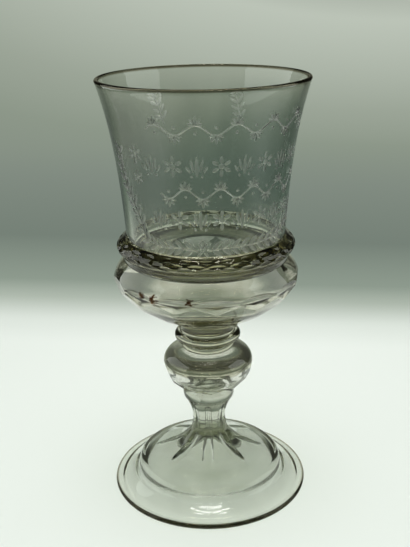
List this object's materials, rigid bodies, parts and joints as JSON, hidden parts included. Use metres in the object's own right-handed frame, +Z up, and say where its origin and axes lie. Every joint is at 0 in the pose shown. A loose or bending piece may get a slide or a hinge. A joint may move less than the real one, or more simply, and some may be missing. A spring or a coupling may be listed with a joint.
{
  "type": "footed drinking glass",
  "caption": "Footed drinking glass: a flared engraved cup with a collar ring on a hollow faceted bulb, a faceted knop, a fluted stem and a wide domed foot.",
  "frame": {"origin": "middle of the foot's resting plane, on the axis of the glass", "axes": "+Z up along the axis of the glass, front of the engraving towards -Y, +X to the viewer's right"},
  "size_m": [0.0954, 0.0954, 0.2],
  "materials": {
    "clear_glass": "clear polished glass with a faint olive tint, wheel engraved on the cup",
    "olive_glass": "clear polished glass, thicker, reading a little darker and more olive"
  },
  "bodies": {
    "root": {"goblet_cup": "clear_glass", "collar_ring": "olive_glass", "faceted_bulb": "clear_glass", "merese": "olive_glass", "neck_wafer": "olive_glass", "faceted_knop": "olive_glass", "fluted_stem": "olive_glass", "domed_foot": "clear_glass"}
  },
  "joints": []
}
